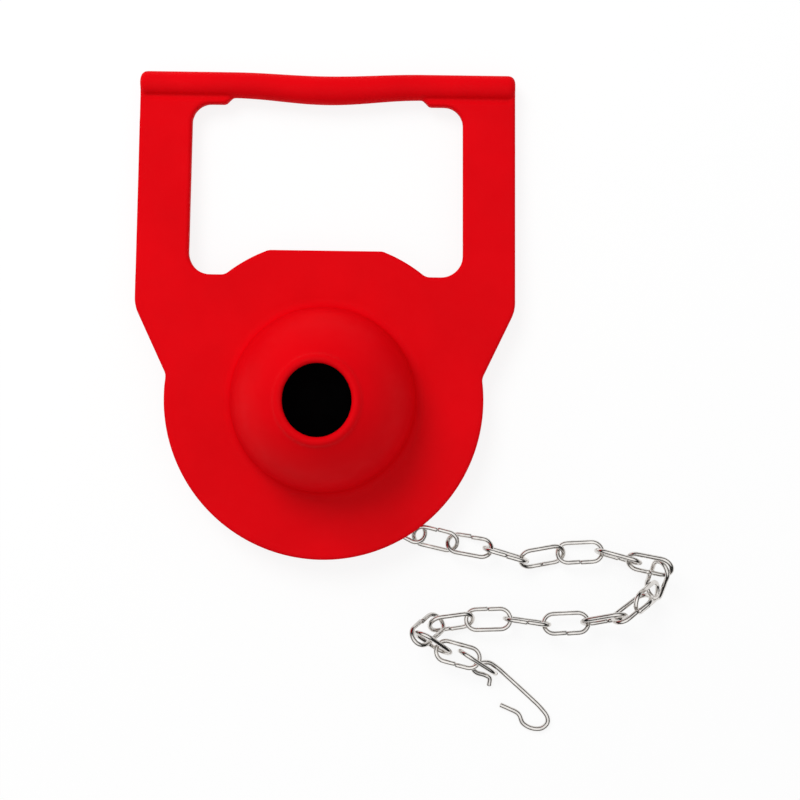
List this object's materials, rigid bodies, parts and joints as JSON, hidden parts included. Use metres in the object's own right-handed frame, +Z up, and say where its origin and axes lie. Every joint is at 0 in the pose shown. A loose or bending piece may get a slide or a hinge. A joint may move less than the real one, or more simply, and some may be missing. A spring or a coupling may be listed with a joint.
{
  "type": "toilet flapper",
  "caption": "Red rubber cistern flapper with a round valve disc, hollow bulb, windowed hinge frame, wire lift chain and clip.",
  "frame": {"origin": "middle of the valve disc's flat back, the side that lies towards the floor", "axes": "+Z up, bulb upwards; +Y from the disc towards the hinge bar; +X to the side where the chain lies"},
  "size_m": [0.139, 0.1706, 0.0351],
  "materials": {
    "red_rubber": "smooth moulded rubber, satin",
    "steel_wire": "bright drawn steel wire"
  },
  "bodies": {
    "root": {"flapper_body": "red_rubber", "chain_link_01": "steel_wire", "chain_link_02": "steel_wire", "chain_link_03": "steel_wire", "chain_link_04": "steel_wire", "chain_link_05": "steel_wire", "chain_link_06": "steel_wire", "chain_link_07": "steel_wire", "chain_link_08": "steel_wire", "chain_link_09": "steel_wire", "chain_link_10": "steel_wire", "chain_link_11": "steel_wire", "chain_link_12": "steel_wire", "chain_link_13": "steel_wire", "chain_link_14": "steel_wire", "chain_link_15": "steel_wire", "chain_link_16": "steel_wire", "chain_link_17": "steel_wire", "chain_link_18": "steel_wire", "chain_link_19": "steel_wire", "chain_link_20": "steel_wire", "chain_link_21": "steel_wire", "chain_link_22": "steel_wire", "lift_clip": "steel_wire"}
  },
  "joints": []
}
